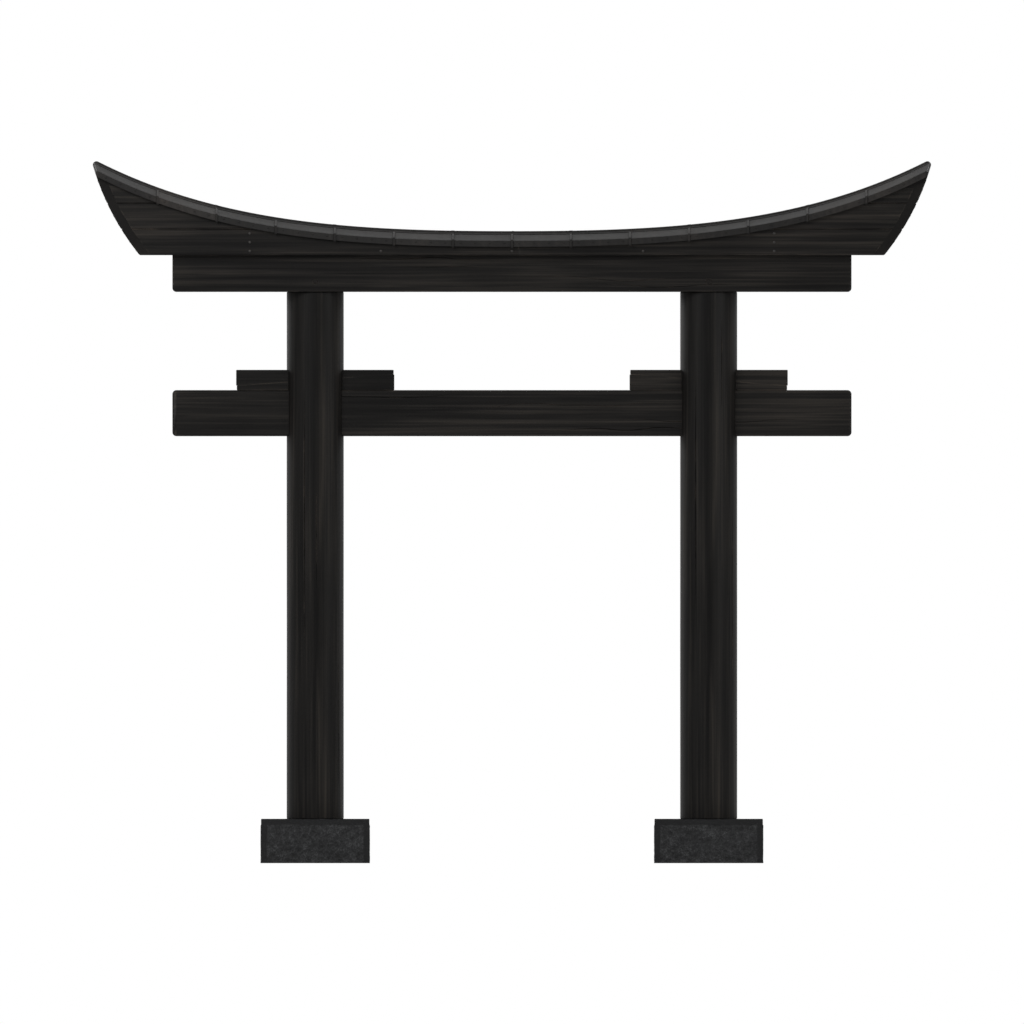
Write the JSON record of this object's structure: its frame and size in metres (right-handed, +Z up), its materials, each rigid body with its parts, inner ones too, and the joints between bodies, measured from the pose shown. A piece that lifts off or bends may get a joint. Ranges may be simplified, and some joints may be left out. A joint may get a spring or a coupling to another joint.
{
  "type": "torii gate",
  "caption": "Black timber torii gate: round pillars on square stones, a through tie beam locked by wedges, a straight lower lintel and an upswept upper lintel with bow ends.",
  "frame": {"origin": "on the ground, midway between the two pillars", "axes": "+X across the gate to the right as seen from the front, -Y towards the front, +Z up"},
  "size_m": [6.4564, 0.844, 5.4069],
  "materials": {
    "lacquered_timber": "black lacquer over planed cypress, satin",
    "sheeted_boards": "timber covered with black-patinated copper sheet",
    "plain_timber": "sawn cypress, unfinished",
    "base_stone": "black granite, fine-pointed faces and honed arrises"
  },
  "bodies": {
    "root": {"back_left_fascia": "lacquered_timber", "back_left_roof_board": "sheeted_boards", "back_right_fascia": "lacquered_timber", "back_right_roof_board": "sheeted_boards", "back_sole_plank": "lacquered_timber", "front_left_fascia": "lacquered_timber", "front_left_roof_board": "sheeted_boards", "front_right_fascia": "lacquered_timber", "front_right_roof_board": "sheeted_boards", "front_sole_plank": "lacquered_timber", "left_base_stone": "base_stone", "left_end_board": "lacquered_timber", "left_inner_rib": "plain_timber", "left_lintel_peg": "lacquered_timber", "left_lower_wedge": "lacquered_timber", "left_outer_rib": "plain_timber", "left_pillar": "lacquered_timber", "left_ridge_pole": "sheeted_boards", "left_upper_wedge": "lacquered_timber", "lower_lintel": "lacquered_timber", "middle_rib": "plain_timber", "right_base_stone": "base_stone", "right_end_board": "lacquered_timber", "right_inner_rib": "plain_timber", "right_lintel_peg": "lacquered_timber", "right_lower_wedge": "lacquered_timber", "right_outer_rib": "plain_timber", "right_pillar": "lacquered_timber", "right_ridge_pole": "sheeted_boards", "right_upper_wedge": "lacquered_timber", "tie_beam": "lacquered_timber"}
  },
  "joints": []
}
